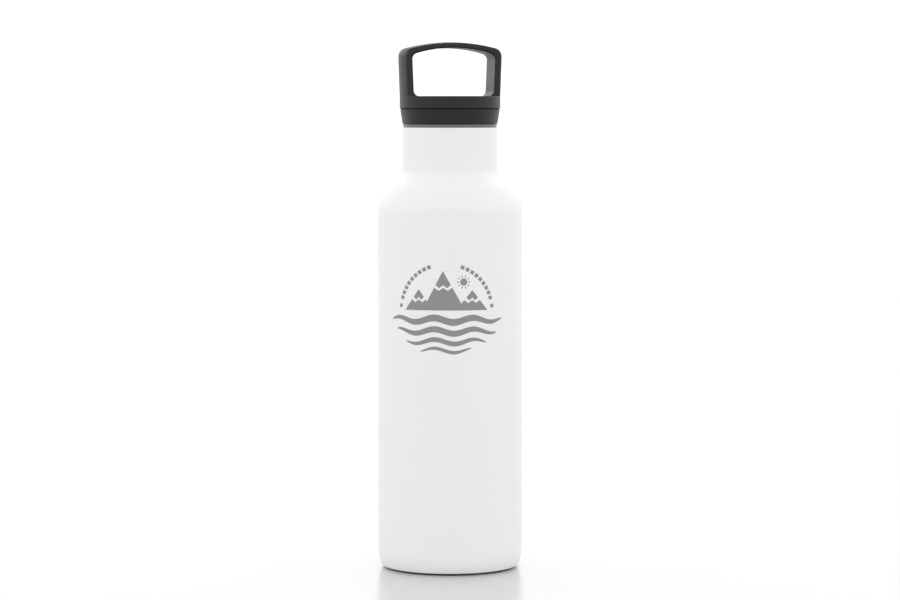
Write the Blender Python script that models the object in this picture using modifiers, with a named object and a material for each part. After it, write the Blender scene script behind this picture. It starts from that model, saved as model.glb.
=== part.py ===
"""Insulated steel water bottle with a screw-in lid and a fixed carry loop.

Metres, +Z up. The origin is the middle of the ring that the bottle stands on, +Z is the bottle's
axis, and X runs along the carry loop. Run it with: blender --background --python part.py
"""

import math

import bmesh
import bpy

COLLECTION = "insulated_water_bottle"

# Clearance that keeps two neighbouring solids apart, and the resolution of turned shapes
GAP = 0.0003
TURN_STEPS = 40
SMALL_TURN_STEPS = 16
ARC_STEPS = 3
SHARP_ANGLE = math.radians(35)
MERGE_DISTANCE = 0.00001

# Outer wall of the bottle
BODY_RADIUS = 0.0365
NECK_RADIUS = 0.02405
OUTER_WALL = 0.0006
COAT_TOP = 0.2227
SHOULDER_TOP = 0.2013
SHOULDER_HOLLOW_RADIUS = 0.0063
SHOULDER_CROWN_RADIUS = 0.0091
SHOULDER_BLEND_RADIUS = 0.027
SHOULDER_SLOPE = 60.0
SHOULDER_BLEND_ANGLE = 20.0
TUCK_TOP = 0.0095
TUCK_RADIUS = 0.018
TUCK_BOTTOM = 0.0009
FOOT_ROUNDING = 0.0013
FOOT_INNER_RADIUS = 0.0316

# Steel rim that closes the mouth
RIM_TOP = 0.2241
RIM_RADIUS = 0.0238
RIM_BORE = 0.0209
RIM_ROUNDING = 0.00055

# Inner liner, its base and its foil wrap
LINER_RADIUS = 0.0327
LINER_NECK_BORE = 0.0210
LINER_WALL = 0.0005
LINER_SHOULDER_TOP = 0.1993
LINER_BOTTOM = 0.0140
LINER_BASE_HEIGHT = 0.0134
LINER_BASE_RIM = 0.0190
LINER_BASE_CORNER = 0.0045
FOIL_THICKNESS = 0.0002
FOIL_CLEARANCE = 0.0004
FOIL_BOTTOM = 0.0200
FOIL_TOP = 0.1760

# Welded vacuum base, its seal, the getter and the cover under them
VACUUM_BASE_RADIUS = 0.0354
VACUUM_BASE_HEIGHT = 0.0060
VACUUM_BASE_RIM = 0.0125
VACUUM_BASE_CORNER = 0.0050
VACUUM_BASE_WALL = 0.0006
EVACUATION_HOLE_RADIUS = 0.0015
SEAL_STEM_RADIUS = 0.00115
SEAL_HEAD_RADIUS = 0.0026
SEAL_HEAD_HEIGHT = 0.0010
GETTER_RADIUS = 0.0045
GETTER_HEIGHT = 0.0022
GETTER_OFFSET = 0.0120
CLIP_WIDTH = 0.0030
CLIP_WALL = 0.0003
CLIP_FOOT = 0.0025
COVER_RADIUS = 0.0312
COVER_HEIGHT = 0.0014
COVER_RIM = 0.0036
COVER_CORNER = 0.0016
COVER_WALL = 0.0005
COVER_PANEL_RADIUS = 0.0225
COVER_PANEL_RISE = 0.0007

# Screw thread between the liner's neck and the lid's plug: right-handed, one start
THREAD_LEAD = 0.0060
THREAD_TURNS = 2
THREAD_ROOT_HALF = 0.0011
THREAD_CREST_HALF = 0.0005
THREAD_BITE = 0.00025
LINER_THREAD_START = 0.2065
LINER_THREAD_CREST = 0.01985
PLUG_THREAD_CREST = 0.02045

# Lid body: a tapered collar over a hollow threaded plug
LID_BOTTOM = 0.2244
LID_SEAM = 0.2319
LID_BOTTOM_RADIUS = 0.02392
LID_SEAM_RADIUS = 0.02515
LID_LAND_RADIUS = 0.0248
LID_LAND_TOP = 0.2325
LID_CUP_BORE = 0.0229
LID_CUP_FLOOR = 0.2284
LID_EDGE_RADIUS = 0.0008
PLUG_RADIUS = 0.0194
PLUG_BORE = 0.0175
PLUG_BOTTOM = 0.2076
PLUG_FLOOR = 0.2094
PLUG_ROUNDING = 0.0012
GASKET_SEAT = 0.2265
GASKET_RADIUS = 0.0226
GASKET_BORE = 0.0198
GASKET_TOP = 0.2262
GASKET_ROUNDING = 0.0005
FOAM_RADIUS = 0.0171
FOAM_TOP = 0.2346

# Carry loop: a slab cut from a turned dome, on a round cap
CAP_BOTTOM = 0.2323
CAP_TOP = 0.2383
CAP_RADIUS = 0.0254
CAP_CEILING = 0.2351
SPIGOT_RADIUS = 0.0226
SPIGOT_BORE = 0.0206
SPIGOT_BOTTOM = 0.2288
LOOP_TOP = 0.2656
LOOP_DOME_RADIUS = 0.0878
LOOP_SHOULDER_RADIUS = 0.02605
LOOP_SHOULDER_HEIGHT = 0.2567
LOOP_CORNER = 0.0042
LOOP_THICKNESS = 0.0194
WINDOW_BOTTOM = 0.2383
WINDOW_BOTTOM_HALF = 0.02043
WINDOW_TOP_HALF = 0.02128
WINDOW_CROWN = 0.2626
WINDOW_ARCH_RADIUS = 0.066
WINDOW_CORNER = 0.0030

# Materials: colour, roughness, metallic
POWDER_COAT = ("powder_coat", (0.82, 0.82, 0.81), 0.55, 0.0)
BARE_STEEL = ("bare_steel", (0.56, 0.55, 0.54), 0.35, 1.0)
COPPER_FOIL = ("copper_foil", (0.72, 0.40, 0.28), 0.30, 1.0)
GETTER_GREY = ("getter_powder", (0.18, 0.17, 0.17), 0.90, 0.0)
SEAL_GLASS = ("seal_glass", (0.30, 0.26, 0.20), 0.20, 0.0)
CHARCOAL_PLASTIC = ("charcoal_plastic", (0.032, 0.032, 0.034), 0.50, 0.0)
LIGHT_FOAM = ("lid_foam", (0.80, 0.78, 0.72), 0.95, 0.0)
CLEAR_SILICONE = ("silicone", (0.45, 0.46, 0.46), 0.45, 0.0)


def clear_scene():
    for item in list(bpy.data.objects):
        bpy.data.objects.remove(item, do_unlink=True)


def new_collection(name):
    collection = bpy.data.collections.new(name)
    bpy.context.scene.collection.children.link(collection)
    return collection


def make_material(look):
    name, colour, roughness, metallic = look
    if name in bpy.data.materials:
        return bpy.data.materials[name]
    material = bpy.data.materials.new(name)
    material.use_nodes = True
    shader = material.node_tree.nodes["Principled BSDF"]
    shader.inputs["Base Color"].default_value = (*colour, 1.0)
    shader.inputs["Roughness"].default_value = roughness
    shader.inputs["Metallic"].default_value = metallic
    return material


def arc(centre, radius, start, end, steps=ARC_STEPS):
    """Points on an arc, from one angle to another in degrees, both ends included."""
    points = []
    for step in range(steps + 1):
        angle = math.radians(start + (end - start) * step / steps)
        points.append((centre[0] + radius * math.cos(angle), centre[1] + radius * math.sin(angle)))
    return points


def rounded(corners, steps=ARC_STEPS, closed=False):
    """An outline through (x, y, rounding) corners, with a tangent arc at each rounded one."""
    outline = []
    count = len(corners)
    for index, (x, y, rounding) in enumerate(corners):
        at_end = not closed and index in (0, count - 1)
        if rounding == 0 or at_end:
            outline.append((x, y))
            continue
        before = corners[index - 1]
        after = corners[(index + 1) % count]
        into = math.atan2(y - before[1], x - before[0])
        out = math.atan2(after[1] - y, after[0] - x)
        turn = math.remainder(out - into, math.tau)
        setback = rounding * math.tan(abs(turn) / 2)
        side = math.copysign(1.0, turn)
        start = (x - setback * math.cos(into), y - setback * math.sin(into))
        centre = (start[0] - side * rounding * math.sin(into), start[1] + side * rounding * math.cos(into))
        first = math.degrees(into) - side * 90
        outline += arc(centre, rounding, first, first + math.degrees(turn), steps)
    return outline


def outline_mesh(name, outline, closed):
    """Vertices and edges of a (radius, height) outline in the XZ plane."""
    edges = [(index, index + 1) for index in range(len(outline) - 1)]
    if closed:
        edges.append((len(outline) - 1, 0))
    mesh = bpy.data.meshes.new(name)
    mesh.from_pydata([(radius, 0.0, height) for radius, height in outline], edges, [])
    return mesh


def turned(name, outline, look, collection, closed=True, wall=0.0, steps=TURN_STEPS):
    """A (radius, height) outline, outer side from top to bottom, turned about Z.

    An open outline that ends off the axis is a thin shell and takes a wall, built inwards.
    """
    item = bpy.data.objects.new(name, outline_mesh(name, outline, closed))
    collection.objects.link(item)
    item.data.materials.append(make_material(look))
    screw = item.modifiers.new("turn", "SCREW")
    screw.steps = steps
    screw.render_steps = steps
    screw.use_merge_vertices = True
    screw.merge_threshold = MERGE_DISTANCE
    screw.use_smooth_shade = True
    if wall:
        shell = item.modifiers.new("wall", "SOLIDIFY")
        shell.thickness = wall
        shell.offset = -1
        shell.use_even_offset = True
    return item


def boolean(item, tool, operation):
    step = item.modifiers.new(tool.name, "BOOLEAN")
    step.operation = operation
    step.solver = "EXACT"
    step.object = tool


def as_tool(item):
    item.display_type = "WIRE"
    item.hide_render = True
    return item


def thread_bar(name, crest, root, start, tools):
    """A trapezoid bar wound up a right-hand helix, with flat ends, to join onto a wall."""
    loop = [
        (root, start + THREAD_ROOT_HALF),
        (crest, start + THREAD_CREST_HALF),
        (crest, start - THREAD_CREST_HALF),
        (root, start - THREAD_ROOT_HALF),
    ]
    if crest < root:
        loop.reverse()
    wire = bpy.data.objects.new(name + "_section", outline_mesh(name, loop, True))
    tools.objects.link(wire)
    screw = wire.modifiers.new("wind", "SCREW")
    screw.screw_offset = THREAD_LEAD
    screw.iterations = THREAD_TURNS
    screw.steps = TURN_STEPS
    screw.render_steps = TURN_STEPS
    bpy.context.view_layer.update()
    mesh = bpy.data.meshes.new_from_object(wire.evaluated_get(bpy.context.evaluated_depsgraph_get()))
    bpy.data.objects.remove(wire, do_unlink=True)

    shape = bmesh.new()
    shape.from_mesh(mesh)
    bmesh.ops.holes_fill(shape, edges=shape.edges[:], sides=len(loop))
    bmesh.ops.recalc_face_normals(shape, faces=shape.faces[:])
    shape.to_mesh(mesh)
    shape.free()
    bar = bpy.data.objects.new(name, mesh)
    tools.objects.link(bar)
    return as_tool(bar)


def plate_tool(name, outline, thickness, tools):
    """A closed (x, z) outline as a plate centred on the XZ plane."""
    curve = bpy.data.curves.new(name, "CURVE")
    curve.dimensions = "2D"
    curve.fill_mode = "BOTH"
    curve.extrude = thickness / 2
    spline = curve.splines.new("POLY")
    spline.points.add(len(outline) - 1)
    for point, (x, z) in zip(spline.points, outline):
        point.co = (x, z, 0.0, 1.0)
    spline.use_cyclic_u = True
    drawn = bpy.data.objects.new(name + "_outline", curve)
    drawn.rotation_euler = (math.pi / 2, 0.0, 0.0)
    tools.objects.link(drawn)
    bpy.context.view_layer.update()
    mesh = bpy.data.meshes.new_from_object(drawn.evaluated_get(bpy.context.evaluated_depsgraph_get()))
    shape = bmesh.new()
    shape.from_mesh(mesh)
    bmesh.ops.remove_doubles(shape, verts=shape.verts[:], dist=MERGE_DISTANCE)
    bmesh.ops.recalc_face_normals(shape, faces=shape.faces[:])
    shape.to_mesh(mesh)
    shape.free()
    plate = bpy.data.objects.new(name, mesh)
    plate.matrix_world = drawn.matrix_world
    tools.objects.link(plate)
    bpy.data.objects.remove(drawn, do_unlink=True)
    return as_tool(plate)


def box_tool(name, low, high, tools):
    shape = bmesh.new()
    bmesh.ops.create_cube(shape, size=1.0)
    for vertex in shape.verts:
        for axis in range(3):
            vertex.co[axis] = low[axis] + (vertex.co[axis] + 0.5) * (high[axis] - low[axis])
    mesh = bpy.data.meshes.new(name)
    shape.to_mesh(mesh)
    shape.free()
    box = bpy.data.objects.new(name, mesh)
    tools.objects.link(box)
    return as_tool(box)


def shoulder(neck_radius, body_radius, top):
    """Neck to body, downwards: a hollow, a straight slope, a crown and a soft blend."""
    slope = math.radians(SHOULDER_SLOPE)
    blend = math.radians(SHOULDER_BLEND_ANGLE)
    hollow_centre = (neck_radius + SHOULDER_HOLLOW_RADIUS, top)
    hollow = arc(hollow_centre, SHOULDER_HOLLOW_RADIUS, 180, 180 + SHOULDER_SLOPE)
    blend_radius = body_radius - SHOULDER_BLEND_RADIUS * (1 - math.cos(blend))
    crown_centre_radius = blend_radius - SHOULDER_CROWN_RADIUS * math.cos(blend)
    crown_radius = crown_centre_radius + SHOULDER_CROWN_RADIUS * math.cos(slope)
    crown_height = hollow[-1][1] - (crown_radius - hollow[-1][0]) / math.tan(slope)
    crown_centre = (crown_centre_radius, crown_height - SHOULDER_CROWN_RADIUS * math.sin(slope))
    blend_height = crown_centre[1] + SHOULDER_CROWN_RADIUS * math.sin(blend)
    blend_centre = (
        body_radius - SHOULDER_BLEND_RADIUS,
        blend_height - SHOULDER_BLEND_RADIUS * math.sin(blend),
    )
    crown = arc(crown_centre, SHOULDER_CROWN_RADIUS, SHOULDER_SLOPE, SHOULDER_BLEND_ANGLE)
    return hollow + crown + arc(blend_centre, SHOULDER_BLEND_RADIUS, SHOULDER_BLEND_ANGLE, 0, 2)[1:]


def make_outer_shell(parts):
    """Coated outer wall, from the mouth to the rolled-in foot ring that the bottle stands on."""
    lean = math.asin((TUCK_TOP - TUCK_BOTTOM) / TUCK_RADIUS)
    tuck = arc((BODY_RADIUS - TUCK_RADIUS, TUCK_TOP), TUCK_RADIUS, 0, -math.degrees(lean))
    foot_corner = tuck[-1][0] - TUCK_BOTTOM * math.tan(lean)
    outline = [(NECK_RADIUS, COAT_TOP)]
    outline += shoulder(NECK_RADIUS, BODY_RADIUS, SHOULDER_TOP)
    outline += tuck[:-1]
    outline += rounded([(*tuck[-1], 0), (foot_corner, 0.0, FOOT_ROUNDING), (FOOT_INNER_RADIUS, 0.0, 0)])
    return turned("outer_shell", outline, POWDER_COAT, parts, closed=False, wall=OUTER_WALL)


def make_mouth_rim(parts):
    """Bare steel ring that joins the outer wall to the liner and carries the gasket."""
    bottom = COAT_TOP + GAP
    outline = rounded([
        (RIM_RADIUS, RIM_TOP, RIM_ROUNDING),
        (RIM_RADIUS, bottom, 0),
        (RIM_BORE, bottom, 0),
        (RIM_BORE, RIM_TOP, RIM_ROUNDING),
    ], closed=True)
    return turned("mouth_rim", outline, BARE_STEEL, parts)


def make_liner(parts, tools):
    """Inner vessel wall, open at its foot, with the female thread in its neck."""
    neck_radius = LINER_NECK_BORE + LINER_WALL
    outline = [(neck_radius, COAT_TOP)]
    outline += shoulder(neck_radius, LINER_RADIUS, LINER_SHOULDER_TOP)
    outline.append((LINER_RADIUS, LINER_BOTTOM))
    liner = turned("inner_liner", outline, BARE_STEEL, parts, closed=False, wall=LINER_WALL)
    root = LINER_NECK_BORE + THREAD_BITE
    thread = thread_bar("liner_thread", LINER_THREAD_CREST, root, LINER_THREAD_START, tools)
    boolean(liner, thread, "UNION")
    return liner


def make_liner_base(parts):
    """Deep-drawn cup that closes the liner's foot."""
    radius = LINER_RADIUS - LINER_WALL - GAP
    outline = rounded([
        (radius, LINER_BASE_RIM, 0),
        (radius, LINER_BASE_HEIGHT, LINER_BASE_CORNER),
        (0.0, LINER_BASE_HEIGHT, 0),
    ])
    return turned("liner_base", outline, BARE_STEEL, parts, closed=False, wall=LINER_WALL)


def make_liner_foil(parts):
    """Heat-reflecting foil wrapped round the liner inside the vacuum."""
    radius = LINER_RADIUS + FOIL_CLEARANCE + FOIL_THICKNESS
    outline = [(radius, FOIL_TOP), (radius, FOIL_BOTTOM)]
    return turned("liner_foil", outline, COPPER_FOIL, parts, closed=False, wall=FOIL_THICKNESS)


def make_vacuum_base(parts):
    """Pressed base welded into the outer wall, with the hole that the air is drawn through."""
    outline = rounded([
        (VACUUM_BASE_RADIUS, VACUUM_BASE_RIM, 0),
        (VACUUM_BASE_RADIUS, VACUUM_BASE_HEIGHT, VACUUM_BASE_CORNER),
        (EVACUATION_HOLE_RADIUS, VACUUM_BASE_HEIGHT, 0),
    ])
    return turned("vacuum_base", outline, BARE_STEEL, parts, closed=False, wall=VACUUM_BASE_WALL)


def make_vacuum_seal(parts):
    """Glass bead melted into the evacuation hole."""
    head_top = VACUUM_BASE_HEIGHT - GAP
    head_bottom = head_top - SEAL_HEAD_HEIGHT
    stem_top = VACUUM_BASE_HEIGHT + VACUUM_BASE_WALL
    outline = rounded([
        (0.0, stem_top, 0),
        (SEAL_STEM_RADIUS, stem_top, 0),
        (SEAL_STEM_RADIUS, head_top, 0),
        (SEAL_HEAD_RADIUS, head_top, 0),
        (SEAL_HEAD_RADIUS, head_bottom, SEAL_HEAD_HEIGHT / 2),
        (0.0, head_bottom, 0),
    ])
    return turned("vacuum_seal", outline, SEAL_GLASS, parts, closed=False, steps=SMALL_TURN_STEPS)


def make_getter(parts):
    """Gas-absorbing tablet, standing on the vacuum base beside the evacuation hole."""
    bottom = VACUUM_BASE_HEIGHT + VACUUM_BASE_WALL + GAP
    top = bottom + GETTER_HEIGHT
    outline = rounded([
        (0.0, top, 0),
        (GETTER_RADIUS, top, GAP),
        (GETTER_RADIUS, bottom, 0),
        (0.0, bottom, 0),
    ], steps=1)
    getter = turned("getter_tablet", outline, GETTER_GREY, parts, closed=False, steps=SMALL_TURN_STEPS)
    getter.location.x = GETTER_OFFSET
    return getter


def make_getter_clip(parts):
    """Sheet-metal strap that is spot-welded over the getter."""
    foot = VACUUM_BASE_HEIGHT + VACUUM_BASE_WALL + GAP
    span = GETTER_RADIUS + GAP
    top = foot + GETTER_HEIGHT + GAP
    half = [(span + CLIP_FOOT, foot), (span, foot), (span, top)]
    path = [(-x, z) for x, z in half] + half[::-1]
    shape = bmesh.new()
    rows = [[shape.verts.new((x, side * CLIP_WIDTH / 2, z)) for x, z in path] for side in (-1, 1)]
    for near, far in zip(range(len(path) - 1), range(1, len(path))):
        shape.faces.new((rows[0][near], rows[0][far], rows[1][far], rows[1][near]))
    mesh = bpy.data.meshes.new("getter_clip")
    shape.to_mesh(mesh)
    shape.free()
    clip = bpy.data.objects.new("getter_clip", mesh)
    clip.location.x = GETTER_OFFSET
    clip.data.materials.append(make_material(BARE_STEEL))
    parts.objects.link(clip)
    sheet = clip.modifiers.new("sheet", "SOLIDIFY")
    sheet.thickness = CLIP_WALL
    sheet.offset = 1
    sheet.use_even_offset = True
    return clip


def make_base_cover(parts):
    """Shallow steel cup that hides the vacuum base, with a raised round panel."""
    outline = rounded([
        (COVER_RADIUS, COVER_RIM, 0),
        (COVER_RADIUS, COVER_HEIGHT, COVER_CORNER),
        (COVER_PANEL_RADIUS + COVER_PANEL_RISE, COVER_HEIGHT, 0),
        (COVER_PANEL_RADIUS, COVER_HEIGHT + COVER_PANEL_RISE, 0),
        (0.0, COVER_HEIGHT + COVER_PANEL_RISE, 0),
    ])
    return turned("base_cover", outline, BARE_STEEL, parts, closed=False, wall=COVER_WALL)


def make_lid_plug(parts, tools):
    """Lid body: a tapered collar with a land that the cap closes over, and a hollow threaded plug."""
    outline = rounded([
        (0.0, PLUG_FLOOR, 0),
        (PLUG_BORE, PLUG_FLOOR, 0),
        (PLUG_BORE, LID_CUP_FLOOR, 0),
        (LID_CUP_BORE, LID_CUP_FLOOR, 0),
        (LID_CUP_BORE, LID_LAND_TOP, 0),
        (LID_LAND_RADIUS, LID_LAND_TOP, 0),
        (LID_LAND_RADIUS, LID_SEAM, 0),
        (LID_SEAM_RADIUS, LID_SEAM, 0),
        (LID_BOTTOM_RADIUS, LID_BOTTOM, LID_EDGE_RADIUS),
        (LID_CUP_BORE, LID_BOTTOM, 0),
        (LID_CUP_BORE, GASKET_SEAT, 0),
        (PLUG_RADIUS, GASKET_SEAT, 0),
        (PLUG_RADIUS, PLUG_BOTTOM, PLUG_ROUNDING),
        (0.0, PLUG_BOTTOM, 0),
    ])
    plug = turned("threaded_plug", outline, CHARCOAL_PLASTIC, parts, closed=False)
    start = LINER_THREAD_START + THREAD_LEAD / 2
    thread = thread_bar("plug_thread", PLUG_THREAD_CREST, PLUG_RADIUS - THREAD_BITE, start, tools)
    boolean(plug, thread, "UNION")
    return plug


def make_lid_gasket(parts):
    """Silicone ring under the collar, pressed on the mouth rim when the lid is tight."""
    outline = rounded([
        (GASKET_RADIUS, GASKET_TOP, 0),
        (GASKET_RADIUS, LID_BOTTOM, GASKET_ROUNDING),
        (GASKET_BORE, LID_BOTTOM, GASKET_ROUNDING),
        (GASKET_BORE, GASKET_TOP, 0),
    ], steps=2, closed=True)
    return turned("lid_gasket", outline, CLEAR_SILICONE, parts)


def make_lid_insulation(parts):
    """Foam puck that fills the plug and the cap above it."""
    bottom = PLUG_FLOOR + GAP
    outline = [(0.0, FOAM_TOP), (FOAM_RADIUS, FOAM_TOP), (FOAM_RADIUS, bottom), (0.0, bottom)]
    return turned("lid_insulation", outline, LIGHT_FOAM, parts, closed=False)


def loop_side():
    """Outer side of the cap and loop, from the crown down to the seam."""
    edge = math.asin(LOOP_SHOULDER_RADIUS / LOOP_DOME_RADIUS)
    dome_centre = (0.0, LOOP_TOP - LOOP_DOME_RADIUS)
    dome = arc(dome_centre, LOOP_DOME_RADIUS, 90, 90 - math.degrees(edge), 2 * ARC_STEPS)
    corners = [(x, z, 0) for x, z in dome[:-1]]
    corners.append((dome[-1][0], dome[-1][1], LOOP_CORNER))
    corners.append((LOOP_SHOULDER_RADIUS, LOOP_SHOULDER_HEIGHT, 0))
    corners.append((CAP_RADIUS, CAP_TOP, 0))
    corners.append((CAP_RADIUS, CAP_BOTTOM, 0))
    return rounded(corners, steps=2 * ARC_STEPS)


def window_outline():
    """Arched opening of the loop, as (x, z) points."""
    edge = math.asin(WINDOW_TOP_HALF / WINDOW_ARCH_RADIUS)
    centre = (0.0, WINDOW_CROWN - WINDOW_ARCH_RADIUS)
    reach = math.degrees(edge)
    arch = arc(centre, WINDOW_ARCH_RADIUS, 90 - reach, 90 + reach, 4 * ARC_STEPS)
    corners = [(WINDOW_BOTTOM_HALF, WINDOW_BOTTOM, WINDOW_CORNER), (*arch[0], WINDOW_CORNER)]
    corners += [(x, z, 0) for x, z in arch[1:-1]]
    corners += [(*arch[-1], WINDOW_CORNER), (-WINDOW_BOTTOM_HALF, WINDOW_BOTTOM, WINDOW_CORNER)]
    return rounded(corners, closed=True)


def make_carry_handle(parts, tools):
    """Round cap with the fixed carry loop, in one moulding."""
    lip_bore = LID_LAND_RADIUS + GAP
    rebate = LID_LAND_TOP + GAP
    outline = loop_side() + [
        (lip_bore, CAP_BOTTOM),
        (lip_bore, rebate),
        (SPIGOT_RADIUS, rebate),
        (SPIGOT_RADIUS, SPIGOT_BOTTOM),
        (SPIGOT_BORE, SPIGOT_BOTTOM),
        (SPIGOT_BORE, CAP_CEILING),
        (0.0, CAP_CEILING),
    ]
    handle = turned("carry_handle", outline, CHARCOAL_PLASTIC, parts, closed=False)
    reach = BODY_RADIUS
    face = LOOP_THICKNESS / 2
    for name, near, far in (("front_cut", -reach, -face), ("back_cut", face, reach)):
        cut = box_tool(name, (-reach, near, CAP_TOP), (reach, far, LOOP_TOP + reach), tools)
        boolean(handle, cut, "DIFFERENCE")
    boolean(handle, plate_tool("loop_window", window_outline(), 2 * reach, tools), "DIFFERENCE")
    return handle


def main():
    clear_scene()
    parts = new_collection(COLLECTION)
    tools = new_collection("cutters")
    make_outer_shell(parts)
    make_mouth_rim(parts)
    make_liner(parts, tools)
    make_liner_base(parts)
    make_liner_foil(parts)
    make_vacuum_base(parts)
    make_vacuum_seal(parts)
    make_getter(parts)
    make_getter_clip(parts)
    make_base_cover(parts)
    make_lid_plug(parts, tools)
    make_lid_gasket(parts)
    make_lid_insulation(parts)
    make_carry_handle(parts, tools)
    for item in parts.objects:
        item.data.shade_smooth()
        item.data.set_sharp_from_angle(angle=SHARP_ANGLE)


main()
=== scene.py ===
"""Looks of the insulated water bottle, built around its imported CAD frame. Metres, +Z up."""

import math

import bmesh
import bpy
import numpy as np
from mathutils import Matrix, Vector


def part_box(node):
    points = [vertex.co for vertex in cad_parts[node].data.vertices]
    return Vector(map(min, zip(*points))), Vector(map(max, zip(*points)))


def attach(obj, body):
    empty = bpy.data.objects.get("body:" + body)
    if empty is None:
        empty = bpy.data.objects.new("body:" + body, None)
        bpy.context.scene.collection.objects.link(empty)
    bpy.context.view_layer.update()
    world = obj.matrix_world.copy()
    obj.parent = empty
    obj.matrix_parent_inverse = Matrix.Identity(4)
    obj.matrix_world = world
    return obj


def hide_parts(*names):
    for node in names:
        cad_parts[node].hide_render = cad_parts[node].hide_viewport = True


# Resolution of turned shapes, corners and long stretches
TURN_STEPS = 192
CORNER_STEPS = 6
BEND_STEPS = 16
DISC_STEPS = 20
SHARP_ANGLE = math.radians(40)
AXIS_RADIUS = 1e-7
MERGE_DISTANCE = 1e-7

# The viewpoint: a long lens, level with the neck, looking slightly down
VIEW_AZIMUTH = math.radians(-12.8)
VIEW_TILT = math.radians(3.617)
VIEW_DISTANCE = 1.485
EYE_HEIGHT = 0.2294
FOCAL_LENGTH = 117.56
SENSOR_WIDTH = 36.0
NEAREST_SEEN = 0.05
FARTHEST_SEEN = 60.0

# White studio: soft light from all round over a glossy floor. The light is strongest at the backdrop,
# and weaker overhead and low down. The two horizon heights are the Z of a direction of length 1.
WALL_LIGHT = 2.02
BACKDROP_GAIN = 0.18
CEILING_LOSS = 1.36
HORIZON_LOSS = 0.99
HORIZON_LOW = 0.045
HORIZON_HIGH = 0.20
FLOOR_REACH = 12.0
FLOOR_DROP = 0.00002

# Coated outer wall
OUTER_WALL = 0.0006
COAT_EDGE = 0.00022
NECK_RADIUS = 0.02405
SHOULDER_TOP = 0.2013
SHOULDER_HOLLOW_RADIUS = 0.0063
SHOULDER_CROWN_RADIUS = 0.0091
SHOULDER_BLEND_RADIUS = 0.027
SHOULDER_SLOPE = 60.0
SHOULDER_BLEND_ANGLE = 20.0
TUCK_TOP = 0.0095
TUCK_RADIUS = 0.018
TUCK_BOTTOM = 0.0020
FOOT_ROUNDING = 0.0012
FOOT_STEP = 0.0010
FOOT_RING_WIDTH = 0.0007
FOOT_RING_ROUNDING = 0.0002
FOOT_WIDTH = 0.0049

# Steel pieces of the bottle. The coat clearance parts bare steel from the coated wall.
RIM_STEP_HEIGHT = 0.0007
RIM_STEP_DEPTH = 0.00030
RIM_ROUNDING = 0.00035
RIM_STEP_ROUNDING = RIM_ROUNDING / 3
COAT_CLEARANCE = 0.00002
RIM_TOP_CLEARANCE = 0.00006
LINER_WALL = 0.0005
LINER_NECK_RADIUS = 0.0215
LINER_SHOULDER_DROP = 0.0020
LINER_BASE_CORNER = 0.0045
COVER_WALL = 0.0005
COVER_CORNER = 0.0016
COVER_PANEL = 0.0225
COVER_RISE = 0.0007

# Right-handed screw thread
THREAD_LEAD = 0.0060
THREAD_TURNS = 2
THREAD_START = 0.2065
THREAD_HALF_WIDTH = 0.00125
THREAD_FLAT = 0.35
THREAD_FADE = math.radians(25)
THREAD_HEIGHT = 0.00110
THREAD_ROW = 0.00022
THREAD_MARGIN = 0.000125

# Lid body, gasket, and a dull black ring of painted shadow at the back of the seam between lid body
# and cap
LID_SEAM_RADIUS = 0.02515
LID_BOTTOM_RADIUS = 0.02392
LID_EDGE_ROUNDING = 0.0005
LID_CUP_BORE = 0.0229
LID_CUP_DEPTH = 0.0035
LAND_RADIUS = 0.0248
LAND_RISE = 0.0006
SEAM_ROUNDING = 0.0001
SEAM_GAP = 0.0005
SEAM_SHADE_THICKNESS = 0.00012
SEAM_SHADE_CLEARANCE = 0.00001
GASKET_CLEARANCE = 0.0003
GASKET_BORE_CLEARANCE = 0.0005
GASKET_ROUNDING = 0.00045
PLUG_RADIUS = 0.0194
PLUG_BORE = 0.0175
PLUG_FLOOR = 0.0018
PLUG_ROUNDING = 0.0012
PLUG_RECESS_RADIUS = 0.0155
PLUG_RECESS_DEPTH = 0.0005

# Cap and carry loop
CAP_HEIGHT = 0.0060
CAP_RADIUS = 0.0254
CAP_WALL = 0.0032
CAP_EDGE = 0.0004
LIP_BORE = 0.0251
REBATE_DEPTH = 0.0005
SPIGOT_RADIUS = 0.0226
SPIGOT_BORE = 0.0206
LOOP_DOME_RADIUS = 0.0878
LOOP_DOME_SPARE = 4
LOOP_SHOULDER_RADIUS = 0.02605
LOOP_SHOULDER_DROP = 0.0089
LOOP_CORNER = 0.0042
LOOP_FLARE_BLEND = 0.030
LOOP_THICKNESS = 0.0194
LOOP_EDGE = 0.0009
LOOP_FOOT = 0.0004
LOOP_ROOT = 0.0008
WINDOW_BOTTOM_HALF = 0.02043
WINDOW_TOP_HALF = 0.02128
WINDOW_CROWN_DROP = 0.0030
WINDOW_ARCH_RADIUS = 0.066
WINDOW_CORNER = 0.0030
STATION_SPACING = 0.0006
FACE_PLACES = 14
BISECTIONS = 40

# Printed emblem, wrapped on the body. Its drawing is in millimetres about the ring's centre, and its
# bars and dots are placed in degrees from the top.
EMBLEM_AZIMUTH = VIEW_AZIMUTH + math.radians(-3.4)
EMBLEM_HEIGHT = 0.1308
EMBLEM_RAISE = 0.00003
EMBLEM_SINK = 0.00008
EMBLEM_SLICE = 0.0012
MILLIMETRE = 0.001
RING_INNER = 23.6
RING_OUTER = 25.5
RING_BARS = 9
RING_FIRST_BAR = 20.0
RING_BAR_PITCH = 6.4
RING_BAR_REACH = 2.2
RING_DOT = 81.0
RING_DOT_RADIUS = 1.0
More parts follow.
